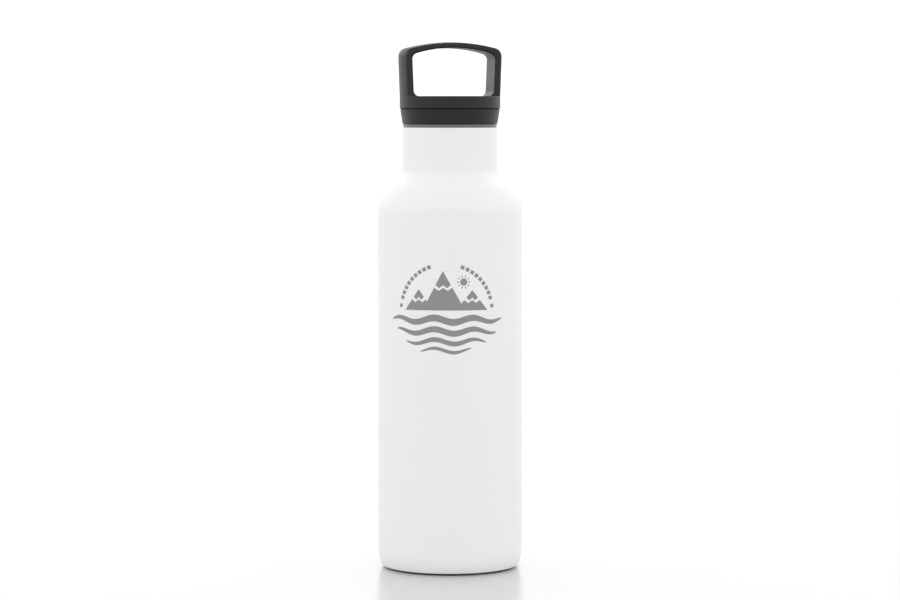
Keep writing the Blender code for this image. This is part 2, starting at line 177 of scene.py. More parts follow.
# Feet and peaks of the range in turn, from left to right
SKYLINE = [
    (-21.5, 1.8),
    (-13.8, 12.2),
    (-9.4, 6.2),
    (-1.4, 21.4),
    (7.8, 5.2),
    (13.4, 11.8),
    (21.5, 1.8),
]
SNOW_SHARE = 0.36
SNOW_GAP = 1.3
SNOW_DIP = 1.5
SNOW_STEPS = 4
SUN_CENTRE = (9.0, 15.9)
SUN_RADIUS = 1.8
SUN_RAYS = 10
SUN_RAY_START = 2.4
SUN_RAY_END = 3.3
SUN_RAY_HALF = 0.26
WAVE_STEPS = 64
WAVE_SWING = 1.1
WAVE_TAPER = 0.45
# Each wave: its width, height, thickness, number of crests, and phase in radians
WAVES = [
    (61.0, -3.0, 3.5, 3.1, 0.0),
    (54.0, -8.6, 3.1, 2.7, 1.2),
    (42.0, -13.7, 2.5, 2.1, 3.0),
    (26.0, -18.0, 1.8, 1.3, 5.6),
]

# Materials. Colours are linear red, green and blue. Tints and glosses are two values that a texture
# wanders between, and a gloss is a roughness. Reliefs are heights in metres. Grain, peel, drift,
# cloud, flow, smudge and creases are texture scales, in cells to the metre. Marks are cells to the
# metre across, and to the radian around.
NOISE_SPAN = (0.3, 0.7)
COAT_COLOUR = (0.895, 0.895, 0.89)
COAT_TINTS = ((0.888, 0.888, 0.885), (0.903, 0.903, 0.899))
COAT_ROUGHNESS = 0.36
COAT_GLOSS = (0.32, 0.42)
COAT_GRAIN = 2600.0
COAT_GRAIN_RELIEF = 0.00002
COAT_PEEL = 420.0
COAT_PEEL_RELIEF = 0.00004
COAT_DRIFT = 35.0
INK_COLOUR = (0.27, 0.27, 0.272)
INK_TINTS = ((0.256, 0.256, 0.258), (0.282, 0.282, 0.284))
INK_ROUGHNESS = 0.55
INK_GLOSS = (0.50, 0.62)
STEEL_COLOUR = (0.52, 0.515, 0.51)
STEEL_ROUGHNESS = 0.30
# Rim steel: bare steel, made darker than the other steel as painted shade under the lid's collar
RIM_COLOUR = (0.20, 0.20, 0.20)
RIM_ROUGHNESS = 0.34
# Near-black steel of the foot ring: painted shadow where the bottle meets the floor
FOOT_SHADE_COLOUR = (0.06, 0.06, 0.06)
FOOT_SHADE_ROUGHNESS = 0.40
STEEL_DARKER = 0.9
STEEL_SMOOTHER = 0.07
STEEL_ROUGHER = 0.09
FINE_MARKS = (9000.0, 6.0)
FINE_MARK_RELIEF = 0.000003
BROAD_MARKS = (900.0, 2.0)
BROAD_MARK_RELIEF = 0.000012
STEEL_CLOUD = 60.0
PLASTIC_COLOUR = (0.006, 0.006, 0.0065)
PLASTIC_TINTS = ((0.005, 0.005, 0.0055), (0.007, 0.007, 0.0075))
PLASTIC_ROUGHNESS = 0.42
PLASTIC_GLOSS = (0.38, 0.46)
PLASTIC_IOR = 1.45
PLASTIC_GRAIN = 5200.0
PLASTIC_FLOW = 300.0
PLASTIC_SMUDGE = 90.0
PLASTIC_RELIEF = 0.00001
SEAM_SHADE_COLOUR = (0.004, 0.004, 0.004)
SEAM_SHADE_ROUGHNESS = 0.9
SEAM_SHADE_GLOSS = (0.85, 0.95)
SEAM_SHADE_SPECULAR = 0.1
SEAM_SHADE_GRAIN = 2000.0
SILICONE_COLOUR = (0.42, 0.43, 0.43)
SILICONE_TINTS = ((0.40, 0.41, 0.41), (0.45, 0.46, 0.46))
SILICONE_ROUGHNESS = 0.45
SILICONE_GLOSS = (0.40, 0.55)
SILICONE_CLOUD = 400.0
SILICONE_GRAIN = 3000.0
SILICONE_RELIEF = 0.00001
FOIL_COLOUR = (0.72, 0.42, 0.30)
FOIL_TINTS = ((0.66, 0.36, 0.25), (0.78, 0.48, 0.34))
FOIL_ROUGHNESS = 0.25
FOIL_GLOSS = (0.18, 0.34)
FOIL_CREASES = 140.0
FOIL_CREASE_RELIEF = 0.0003
FOIL_GRAIN = 500.0
GRAINY_DARKER = 0.85
GRAINY_SMOOTHER = 0.06
GRAINY_ROUGHER = 0.04
FLOOR_COLOUR = (0.66, 0.66, 0.66)
FLOOR_ROUGHNESS = 0.22
FLOOR_GLOSS = (0.21, 0.23)
FLOOR_IOR = 1.28
FLOOR_CLOUD = 6.0

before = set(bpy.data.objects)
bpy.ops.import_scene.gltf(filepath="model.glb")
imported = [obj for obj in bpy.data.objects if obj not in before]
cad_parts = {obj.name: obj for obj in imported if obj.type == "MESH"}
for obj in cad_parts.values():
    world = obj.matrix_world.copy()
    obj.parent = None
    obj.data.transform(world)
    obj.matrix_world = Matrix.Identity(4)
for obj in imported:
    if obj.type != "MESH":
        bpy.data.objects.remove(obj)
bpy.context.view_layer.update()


# ---------------------------------------------------------------- outlines


def arc(centre, radius, start, end, steps=BEND_STEPS):
    """Points on an arc between two angles in degrees, both ends included."""
    angles = np.radians(np.linspace(start, end, steps + 1))
    return [(centre[0] + radius * math.cos(a), centre[1] + radius * math.sin(a)) for a in angles]


def rounded(corners, steps=CORNER_STEPS, closed=False):
    """An outline through (x, y, rounding) corners, with a tangent arc at each rounded one."""
    outline = []
    count = len(corners)
    for index, (x, y, rounding) in enumerate(corners):
        if rounding == 0 or (not closed and index in (0, count - 1)):
            outline.append((x, y))
            continue
        before = corners[index - 1]
        after = corners[(index + 1) % count]
        into = math.atan2(y - before[1], x - before[0])
        out = math.atan2(after[1] - y, after[0] - x)
        turn = math.remainder(out - into, math.tau)
        side = math.copysign(1.0, turn)
        setback = rounding * math.tan(abs(turn) / 2)
        centre = (
            x - setback * math.cos(into) - side * rounding * math.sin(into),
            y - setback * math.sin(into) + side * rounding * math.cos(into),
        )
        first = math.degrees(into) - side * 90
        outline += arc(centre, rounding, first, first + math.degrees(turn), steps)
    return outline


def filled(points, spacing):
    """The same outline, with points added so that no step is longer than the spacing."""
    result = [tuple(points[0])]
    for start, end in zip(points, points[1:]):
        count = max(1, math.ceil(math.dist(start, end) / spacing))
        result += [tuple(row) for row in np.linspace(start, end, count + 1)[1:]]
    return result


def inset(outline, distance):
    """The outline moved sideways by a wall's thickness, to the right of its direction of travel."""
    points = np.array(outline)
    along = np.gradient(points, axis=0)
    along /= np.linalg.norm(along, axis=1)[:, None]
    moved = points + distance * np.column_stack((along[:, 1], -along[:, 0]))
    return [tuple(point) for point in moved]


def shoulder(neck_radius, body_radius, top):
    """Neck to body, downwards: a hollow, a straight slope, a crown and a soft blend."""
    slope = math.radians(SHOULDER_SLOPE)
    blend = math.radians(SHOULDER_BLEND_ANGLE)
    hollow_centre = (neck_radius + SHOULDER_HOLLOW_RADIUS, top)
    hollow = arc(hollow_centre, SHOULDER_HOLLOW_RADIUS, 180, 180 + SHOULDER_SLOPE)
    blend_radius = body_radius - SHOULDER_BLEND_RADIUS * (1 - math.cos(blend))
    crown_centre_radius = blend_radius - SHOULDER_CROWN_RADIUS * math.cos(blend)
    crown_radius = crown_centre_radius + SHOULDER_CROWN_RADIUS * math.cos(slope)
    crown_height = hollow[-1][1] - (crown_radius - hollow[-1][0]) / math.tan(slope)
    crown_centre = (crown_centre_radius, crown_height - SHOULDER_CROWN_RADIUS * math.sin(slope))
    blend_height = crown_centre[1] + SHOULDER_CROWN_RADIUS * math.sin(blend)
    blend_centre = (
        body_radius - SHOULDER_BLEND_RADIUS,
        blend_height - SHOULDER_BLEND_RADIUS * math.sin(blend),
    )
    crown = arc(crown_centre, SHOULDER_CROWN_RADIUS, SHOULDER_SLOPE, SHOULDER_BLEND_ANGLE)
    return hollow + crown + arc(blend_centre, SHOULDER_BLEND_RADIUS, SHOULDER_BLEND_ANGLE, 0)[1:]


# ---------------------------------------------------------------- meshes


def shade(mesh):
    """Smooth shading, with hard edges where faces meet at a sharp angle."""
    mesh.shade_smooth()
    mesh.set_sharp_from_angle(angle=SHARP_ANGLE)


def place_mesh(name, mesh, material):
    """An object for a mesh, shaded so that flat faces stay flat beside their rounded edges."""
    mesh.name = name
    mesh.materials.clear()
    mesh.materials.append(material)
    shade(mesh)
    item = bpy.data.objects.new(name, mesh)
    bpy.context.scene.collection.objects.link(item)
    flatten = item.modifiers.new("flat_faces_stay_flat", "WEIGHTED_NORMAL")
    flatten.keep_sharp = True
    return item


def new_piece(name, vertices, faces, material):
    mesh = bpy.data.meshes.new(name)
    mesh.from_pydata([tuple(vertex) for vertex in vertices], [], faces)
    return place_mesh(name, mesh, material)


def turned(name, outline, material, closed=True, relief=None):
    """A (radius, height) outline, outer side from top to bottom, turned about Z into a closed mesh.

    relief(radius, height, angles) gives the radius at each angle, for a wall that isn't quite round.
    """
    angles = np.linspace(0, math.tau, TURN_STEPS, endpoint=False)
    vertices = []
    rings = []
    for radius, height in outline:
        if radius < AXIS_RADIUS:
            rings.append([len(vertices)] * TURN_STEPS)
            vertices.append((0.0, 0.0, height))
            continue
        radii = relief(radius, height, angles) if relief else np.full(TURN_STEPS, radius)
        rings.append(list(range(len(vertices), len(vertices) + TURN_STEPS)))
        heights = np.full(TURN_STEPS, height)
        vertices += list(zip(radii * np.cos(angles), radii * np.sin(angles), heights))
    faces = []
    pairs = list(zip(rings, rings[1:]))
    if closed:
        pairs.append((rings[-1], rings[0]))
    for upper, lower in pairs:
        for step in range(TURN_STEPS):
            after = (step + 1) % TURN_STEPS
            face = [upper[step], lower[step], lower[after], upper[after]]
            faces.append(list(dict.fromkeys(face)))
    return new_piece(name, vertices, faces, material)


def thread_relief(start, height, wall_low, wall_high):
    """Relief of one helical ridge, whose height is negative where it stands inwards from the wall."""

    def relief(radius, level, angles):
        if not wall_low < radius < wall_high:
            return np.full(len(angles), radius)
        rise = np.zeros(len(angles))
        for turn in range(-1, THREAD_TURNS + 1):
            travel = angles + math.tau * turn
            offset = np.abs(level - start - THREAD_LEAD * travel / math.tau) / THREAD_HALF_WIDTH
            flank = np.clip((1 - offset) / (1 - THREAD_FLAT), 0, 1)
            # Eased, so that the ridge has no hard edges
            ridge = flank * flank * (3 - 2 * flank)
            into = np.clip(travel / THREAD_FADE, 0, 1)
            out = np.clip((math.tau * THREAD_TURNS - travel) / THREAD_FADE, 0, 1)
            rise = np.maximum(rise, ridge * into * out)
        return radius + height * rise

    return relief


def united(name, first, second, material):
    """Two closed pieces that overlap, as one closed piece."""
    join = first.modifiers.new("join", "BOOLEAN")
    join.operation = "UNION"
    join.solver = "EXACT"
    join.object = second
    graph = bpy.context.evaluated_depsgraph_get()
    mesh = bpy.data.meshes.new_from_object(first.evaluated_get(graph))
    bpy.data.objects.remove(first, do_unlink=True)
    bpy.data.objects.remove(second, do_unlink=True)
    return place_mesh(name, mesh, material)


# ---------------------------------------------------------------- materials


def start_material(name, colour, roughness, metallic=0.0):
    """A material with plain values on its shader, which textures then take over."""
    material = bpy.data.materials.new(name)
    material.use_nodes = True
    shader = material.node_tree.nodes["Principled BSDF"]
    shader.inputs["Base Color"].default_value = (*colour, 1.0)
    shader.inputs["Roughness"].default_value = roughness
    shader.inputs["Metallic"].default_value = metallic
    return material, material.node_tree, shader


def add(tree, kind, inputs=None, **settings):
    """A node with its settings, and its inputs by name: a number, or another node's output."""
    node = tree.nodes.new(kind)
    for key, value in settings.items():
        setattr(node, key, value)
    for key, value in (inputs or {}).items():
        if isinstance(value, bpy.types.NodeSocket):
            tree.links.new(value, node.inputs[key])
        else:
            node.inputs[key].default_value = value
    return node


def math_node(tree, operation, first, second):
    return add(tree, "ShaderNodeMath", {0: first, 1: second}, operation=operation).outputs[0]


def object_place(tree):
    return add(tree, "ShaderNodeTexCoord").outputs["Object"]


def noise(tree, place, scale, detail=2.0, roughness=0.5):
    inputs = {"Vector": place, "Scale": scale, "Detail": detail, "Roughness": roughness}
    return add(tree, "ShaderNodeTexNoise", inputs).outputs["Fac"]


def ramp(tree, value, start, end, low, high):
    """A value remapped from one range to another, and held at the ends."""
    inputs = {"Value": value, "From Min": start, "From Max": end, "To Min": low, "To Max": high}
    return add(tree, "ShaderNodeMapRange", inputs).outputs["Result"]


def spread(tree, value, low, high):
    """A noise value, remapped to run between two numbers."""
    return ramp(tree, value, *NOISE_SPAN, low, high)


def blend_colours(tree, value, first, second):
    node = add(tree, "ShaderNodeMix", data_type="RGBA")
    tree.links.new(value, node.inputs[0])
    node.inputs[6].default_value = (*first, 1.0)
    node.inputs[7].default_value = (*second, 1.0)
    return node.outputs[2]


def bump(tree, height, distance, under=None):
    inputs = {"Height": height, "Distance": distance}
    if under is not None:
        inputs["Normal"] = under
    return add(tree, "ShaderNodeBump", inputs).outputs["Normal"]


def connect(tree, shader, colour, roughness, normal):
    tree.links.new(colour, shader.inputs["Base Color"])
    tree.links.new(roughness, shader.inputs["Roughness"])
    tree.links.new(normal, shader.inputs["Normal"])


def around_axis(tree, across, around):
    """Places stretched along circles about Z, where noise looks like the marks of turning."""
    parts = add(tree, "ShaderNodeSeparateXYZ", {"Vector": object_place(tree)})
    x, y, z = parts.outputs
    flat = add(tree, "ShaderNodeCombineXYZ", {"X": x, "Y": y})
    length = add(tree, "ShaderNodeVectorMath", {0: flat.outputs[0]}, operation="LENGTH")
    angle = math_node(tree, "ARCTAN2", y, x)
    wide = math_node(tree, "MULTIPLY", length.outputs["Value"], across)
    turn = math_node(tree, "MULTIPLY", angle, around)
    tall = math_node(tree, "MULTIPLY", z, across)
    return add(tree, "ShaderNodeCombineXYZ", {"X": wide, "Y": turn, "Z": tall}).outputs[0]


def powder_coat():
    """Satin white powder coat: a fine grain over a faint, broader orange peel."""
    material, tree, shader = start_material("powder_coat_white", COAT_COLOUR, COAT_ROUGHNESS)
    place = object_place(tree)
    grain = noise(tree, place, COAT_GRAIN, detail=3.0, roughness=0.6)
    peel = noise(tree, place, COAT_PEEL)
    tint = blend_colours(tree, noise(tree, place, COAT_DRIFT), *COAT_TINTS)
    gloss = spread(tree, grain, *COAT_GLOSS)
    broad = bump(tree, peel, COAT_PEEL_RELIEF)
    connect(tree, shader, tint, gloss, bump(tree, grain, COAT_GRAIN_RELIEF, broad))
    return material


def ink():
    """Mid-grey print, with the coat's grain showing through."""
    material, tree, shader = start_material("emblem_ink", INK_COLOUR, INK_ROUGHNESS)
    grain = noise(tree, object_place(tree), COAT_GRAIN, detail=3.0, roughness=0.6)
    tint = blend_colours(tree, grain, *INK_TINTS)
    gloss = spread(tree, grain, *INK_GLOSS)
    connect(tree, shader, tint, gloss, bump(tree, grain, COAT_GRAIN_RELIEF))
    return material


def turned_steel(name, colour, roughness):
    """Bare stainless steel with the fine circular marks of spinning and turning."""
    material, tree, shader = start_material(name, colour, roughness, metallic=1.0)
    fine = noise(tree, around_axis(tree, *FINE_MARKS), 1.0, detail=3.0, roughness=0.6)
    broad = noise(tree, around_axis(tree, *BROAD_MARKS), 1.0)
    cloud = noise(tree, object_place(tree), STEEL_CLOUD, detail=3.0)
    darker = tuple(STEEL_DARKER * channel for channel in colour)
    tint = blend_colours(tree, cloud, darker, colour)
    gloss = spread(tree, fine, roughness - STEEL_SMOOTHER, roughness + STEEL_ROUGHER)
    under = bump(tree, broad, BROAD_MARK_RELIEF)
    connect(tree, shader, tint, gloss, bump(tree, fine, FINE_MARK_RELIEF, under))
    return material


def charcoal_plastic():
    """Moulded polypropylene: a spark-eroded grain, faint flow marks, and handling in the gloss."""
    material, tree, shader = start_material("charcoal_plastic", PLASTIC_COLOUR, PLASTIC_ROUGHNESS)
    shader.inputs["IOR"].default_value = PLASTIC_IOR
    place = object_place(tree)
    grain = noise(tree, place, PLASTIC_GRAIN, detail=2.0, roughness=0.6)
    flow = noise(tree, place, PLASTIC_FLOW, detail=3.0, roughness=0.6)
    smudge = noise(tree, place, PLASTIC_SMUDGE, detail=4.0, roughness=0.65)
    tint = blend_colours(tree, flow, *PLASTIC_TINTS)
    gloss = spread(tree, smudge, *PLASTIC_GLOSS)
    under = bump(tree, flow, PLASTIC_RELIEF)
    connect(tree, shader, tint, gloss, bump(tree, grain, PLASTIC_RELIEF, under))
    return material


def seam_painted_shadow():
    """Matt black with little shine: painted shadow for the seam between lid body and cap."""
    material, tree, shader = start_material("seam_painted_shadow", SEAM_SHADE_COLOUR, SEAM_SHADE_ROUGHNESS)
    shader.inputs["Specular IOR Level"].default_value = SEAM_SHADE_SPECULAR
    grain = noise(tree, object_place(tree), SEAM_SHADE_GRAIN)
    tree.links.new(spread(tree, grain, *SEAM_SHADE_GLOSS), shader.inputs["Roughness"])
    return material


def silicone():
    """Pale grey silicone rubber, slightly cloudy."""
    material, tree, shader = start_material("silicone_grey", SILICONE_COLOUR, SILICONE_ROUGHNESS)
    place = object_place(tree)
    cloud = noise(tree, place, SILICONE_CLOUD, detail=3.0)
    tint = blend_colours(tree, cloud, *SILICONE_TINTS)
    gloss = spread(tree, cloud, *SILICONE_GLOSS)
    grain = noise(tree, place, SILICONE_GRAIN)
    connect(tree, shader, tint, gloss, bump(tree, grain, SILICONE_RELIEF))
    return material


def crumpled_foil():
    """Copper foil with a crumpled surface."""
    material, tree, shader = start_material("copper_foil", FOIL_COLOUR, FOIL_ROUGHNESS, metallic=1.0)
    place = object_place(tree)
    cells = add(tree, "ShaderNodeTexVoronoi", {"Vector": place, "Scale": FOIL_CREASES})
    creases = cells.outputs["Distance"]
    tint = blend_colours(tree, creases, *FOIL_TINTS)
    gloss = spread(tree, noise(tree, place, FOIL_GRAIN), *FOIL_GLOSS)
    connect(tree, shader, tint, gloss, bump(tree, creases, FOIL_CREASE_RELIEF))
    return material


def grainy(name, colour, roughness, grain, relief):
    """A plain granular stuff, such as foam, pressed powder or melted glass."""
    material, tree, shader = start_material(name, colour, roughness)
    texture = noise(tree, object_place(tree), grain, detail=3.0, roughness=0.6)
    darker = tuple(GRAINY_DARKER * channel for channel in colour)
    tint = blend_colours(tree, texture, darker, colour)
    gloss = spread(tree, texture, roughness - GRAINY_SMOOTHER, roughness + GRAINY_ROUGHER)
    connect(tree, shader, tint, gloss, bump(tree, texture, relief))
    return material


def studio_floor():
    """Pale polished sheet, with the faintest unevenness in its gloss."""
    material, tree, shader = start_material("floor_white", FLOOR_COLOUR, FLOOR_ROUGHNESS)
    shader.inputs["IOR"].default_value = FLOOR_IOR
    uneven = noise(tree, object_place(tree), FLOOR_CLOUD)
    tree.links.new(spread(tree, uneven, *FLOOR_GLOSS), shader.inputs["Roughness"])
    return material


# ---------------------------------------------------------------- the bottle


def place_on(piece, body, slot, *nodes):
    """Says which body a piece rides on, and which CAD nodes it replaces and hides. Its slot is not
    used.
    """
    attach(piece, body)
    if nodes:
        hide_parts(*nodes)


def body_radius():
    """Radius of the coated body, which leaves room for the print within the CAD's outline."""
    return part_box("outer_shell")[1].x - EMBLEM_RAISE


def make_outer_shell(material):
    """Coated wall: rounded coat edge, neck, shoulder, straight body, tucked-in foot."""
    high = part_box("outer_shell")[1]
    radius = body_radius()
    lean = math.asin((TUCK_TOP - TUCK_BOTTOM) / TUCK_RADIUS)
    tuck = arc((radius - TUCK_RADIUS, TUCK_TOP), TUCK_RADIUS, 0, -math.degrees(lean))
    foot_corner = tuck[-1][0] - (TUCK_BOTTOM - FOOT_STEP) * math.tan(lean)
    wall = [(NECK_RADIUS, high.z - COAT_EDGE)] + shoulder(NECK_RADIUS, radius, SHOULDER_TOP) + tuck
    foot = rounded([
        (*tuck[-1], 0),
        (foot_corner, FOOT_STEP, FOOT_ROUNDING),
        (radius - FOOT_WIDTH, FOOT_STEP, 0),
        (radius - FOOT_WIDTH, TUCK_BOTTOM, 0),
    ])
    inner = inset(wall, OUTER_WALL)
    lip = arc((NECK_RADIUS - COAT_EDGE, high.z - COAT_EDGE), COAT_EDGE, 90, 0, CORNER_STEPS)
    outline = lip[:-1] + wall + foot[1:] + inner[::-1] + [(NECK_RADIUS - OUTER_WALL, high.z)]
    return turned("coated_outer_wall", outline, material)


def make_foot_ring(material):
    """Standing ring under the coated wall, in near-black steel: painted shadow where the bottle meets
    the floor.
    """
    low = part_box("outer_shell")[0]
    inner = body_radius() - FOOT_WIDTH
    outer = inner + FOOT_RING_WIDTH
    outline = rounded([
        (outer, FOOT_STEP - COAT_CLEARANCE, 0),
        (outer, low.z, FOOT_RING_ROUNDING),
        (inner, low.z, FOOT_RING_ROUNDING),
        (inner, FOOT_STEP - COAT_CLEARANCE, 0),
    ], closed=True)
    return turned("foot_ring_painted_dark", outline, material)


def make_mouth_rim(material):
    """Bare ring: a rounded bead over a shallow step down to the coat."""
    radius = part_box("mouth_rim")[1].x
    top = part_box("lid_gasket")[0].z - RIM_TOP_CLEARANCE
    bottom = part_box("outer_shell")[1].z + COAT_CLEARANCE
    bore = LINER_NECK_RADIUS - LINER_WALL
    step = bottom + RIM_STEP_HEIGHT
    outline = rounded([
        (radius, top, RIM_ROUNDING),
        (radius, step, RIM_STEP_ROUNDING),
        (radius - RIM_STEP_DEPTH, step, RIM_STEP_ROUNDING),
        (radius - RIM_STEP_DEPTH, bottom, 0),
        (bore, bottom, 0),
        (bore, top, RIM_ROUNDING),
    ], closed=True)
    return turned("steel_mouth_rim", outline, material)


def make_liner(material):
    """Inner vessel with the female thread rolled into its neck."""
    low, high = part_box("inner_liner")
    shoulder_top = SHOULDER_TOP - LINER_SHOULDER_DROP
    bore = LINER_NECK_RADIUS - LINER_WALL
    outer = shoulder(LINER_NECK_RADIUS, high.x, shoulder_top) + [(high.x, low.z)]
    inner = inset(outer, LINER_WALL)
    neck = filled([(bore, shoulder_top), (bore, high.z)], THREAD_ROW)
    outline = [(LINER_NECK_RADIUS, high.z)] + outer + inner[:0:-1] + neck
    relief = thread_relief(THREAD_START, -THREAD_HEIGHT, bore - THREAD_MARGIN, bore + THREAD_MARGIN)
    return turned("steel_inner_liner", outline, material, relief=relief)


def make_liner_base(material):
    """Deep-drawn cup that closes the liner's foot."""
    low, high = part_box("liner_base")
    outer = rounded([
        (high.x, high.z, 0),
        (high.x, low.z, LINER_BASE_CORNER),
        (0.0, low.z, 0),
    ], steps=BEND_STEPS)
    inner = inset(outer, LINER_WALL)
    middle = [(0.0, low.z + LINER_WALL)]
    outline = middle + inner[-2:0:-1] + [(high.x - LINER_WALL, high.z)] + outer
    return turned("steel_liner_base", outline, material, closed=False)


def make_base_cover(material):
    """Shallow spun cup under the bottle, with a raised round panel."""
    low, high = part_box("base_cover")
    outer = rounded([
        (high.x, high.z, 0),
        (high.x, low.z, COVER_CORNER),
        (COVER_PANEL + COVER_RISE, low.z, COVER_RISE / 2),
        (COVER_PANEL, low.z + COVER_RISE, COVER_RISE / 2),
        (0.0, low.z + COVER_RISE, 0),
    ])
    inner = inset(outer, COVER_WALL)
    middle = [(0.0, low.z + COVER_RISE + COVER_WALL)]
    outline = middle + inner[-2:0:-1] + [(high.x - COVER_WALL, high.z)] + outer
    return turned("steel_base_cover", outline, material, closed=False)


# ---------------------------------------------------------------- the emblem


def disc(x, y, radius):
    return arc((x, y), radius, 0, 360 - 360 / DISC_STEPS, DISC_STEPS - 1)


def ring_marks():
    """Short bars along both upper quarters of the ring, and a dot at each end of them."""
    shapes = []
    for side in (-1, 1):
        for step in range(RING_BARS):
            middle = 90 + side * (RING_FIRST_BAR + RING_BAR_PITCH * step)
            start = middle - RING_BAR_REACH
            end = middle + RING_BAR_REACH
            outer = arc((0, 0), RING_OUTER, start, end, 2)
            shapes.append(outer + arc((0, 0), RING_INNER, end, start, 2))
        dot = math.radians(90 + side * RING_DOT)
        middle = (RING_INNER + RING_OUTER) / 2
        shapes.append(disc(middle * math.cos(dot), middle * math.sin(dot), RING_DOT_RADIUS))
    return shapes


def slope_point(skyline, peak, side, drop):
    """The point on one slope of a peak, a drop below its tip."""
    tip = skyline[peak]
    foot = skyline[peak + side]
    return (tip[0] + (foot[0] - tip[0]) * drop / (tip[1] - foot[1]), tip[1] - drop)


def snow_edge(skyline, peak, drop):
    """Zigzag from the left slope of a peak to its right slope, down at every other point."""
    left = slope_point(skyline, peak, -1, drop)
    right = slope_point(skyline, peak, 1, drop)
    edge = []
    for step, share in enumerate(np.linspace(0, 1, SNOW_STEPS + 1)):
        dip = SNOW_DIP if step % 2 else 0.0
        edge.append((left[0] + (right[0] - left[0]) * share, left[1] - dip))
    return edge


def mountains():
    """A range of three peaks: the rock in one shape, and a snow cap over each peak."""
    rock = [SKYLINE[0]]
    caps = []
    for peak in range(1, len(SKYLINE) - 1, 2):
        height = SNOW_SHARE * (SKYLINE[peak][1] - SKYLINE[0][1])
        caps.append([SKYLINE[peak]] + snow_edge(SKYLINE, peak, height)[::-1])
        rock += snow_edge(SKYLINE, peak, height + SNOW_GAP)
        rock.append(SKYLINE[peak + 1])
    return [rock] + caps


def sun():
    """A small disc with short rays, between the highest peak and the right-hand one."""
    centre = np.array(SUN_CENTRE)
    shapes = [disc(*SUN_CENTRE, SUN_RADIUS)]
    for step in range(SUN_RAYS):
        turn = math.tau * step / SUN_RAYS
        along = np.array((math.cos(turn), math.sin(turn)))
        side = SUN_RAY_HALF * np.array((-along[1], along[0]))
        near = centre + SUN_RAY_START * along
        far = centre + SUN_RAY_END * along
        corners = (near - side, far - side, far + side, near + side)
        shapes.append([tuple(corner) for corner in corners])
    return shapes


def wave(width, height, thickness, crests, phase):
    """A wavy band that tapers to a point at both ends."""
    upper = []
    lower = []
    for share in np.linspace(0, 1, WAVE_STEPS + 1):
        x = (share - 0.5) * width
        y = height + WAVE_SWING * math.sin(math.tau * crests * share + phase)
        half = thickness / 2 * max(0.0, math.sin(math.pi * share)) ** WAVE_TAPER
        upper.append((x, y + half))
        lower.append((x, y - half))
    return upper[:-1] + lower[:0:-1]


def waves():
    return [wave(*settings) for settings in WAVES]


def flat_shapes(outlines):
    """Closed outlines in millimetres as one sheet of separate flat plates, in the XZ plane."""
    curve = bpy.data.curves.new("emblem_outlines", "CURVE")
    curve.dimensions = "2D"
    curve.fill_mode = "BOTH"
    curve.extrude = (EMBLEM_RAISE + EMBLEM_SINK) / 2
    for outline in outlines:
        spline = curve.splines.new("POLY")
        spline.points.add(len(outline) - 1)
        for point, (x, y) in zip(spline.points, outline):
            point.co = (x * MILLIMETRE, y * MILLIMETRE, 0.0, 1.0)
        spline.use_cyclic_u = True
    drawn = bpy.data.objects.new("emblem_outlines", curve)
    bpy.context.scene.collection.objects.link(drawn)
    graph = bpy.context.evaluated_depsgraph_get()
    mesh = bpy.data.meshes.new_from_object(drawn.evaluated_get(graph))
    bpy.data.objects.remove(drawn, do_unlink=True)
    return mesh


def make_emblem(material):
    """The print: a thin film of separate shapes, sliced finely and wrapped round the body."""
    mesh = flat_shapes(ring_marks() + mountains() + sun() + waves())
    shape = bmesh.new()
    shape.from_mesh(mesh)
    bmesh.ops.remove_doubles(shape, verts=shape.verts[:], dist=MERGE_DISTANCE)
    slices = math.floor(max(abs(vertex.co.x) for vertex in shape.verts) / EMBLEM_SLICE)
    for step in range(-slices, slices + 1):
        bmesh.ops.bisect_plane(
            shape,
            geom=shape.verts[:] + shape.edges[:] + shape.faces[:],
            dist=MERGE_DISTANCE,
            plane_co=(step * EMBLEM_SLICE, 0.0, 0.0),
            plane_no=(1, 0, 0),
        )
    radius = body_radius() + (EMBLEM_RAISE - EMBLEM_SINK) / 2
    for vertex in shape.verts:
        angle = vertex.co.x / radius + EMBLEM_AZIMUTH
        distance = radius + vertex.co.z
        height = EMBLEM_HEIGHT + vertex.co.y
        vertex.co = (distance * math.sin(angle), -distance * math.cos(angle), height)
    bmesh.ops.recalc_face_normals(shape, faces=shape.faces[:])
    shape.to_mesh(mesh)
    shape.free()
    return place_mesh("printed_emblem", mesh, material)


# ---------------------------------------------------------------- the lid


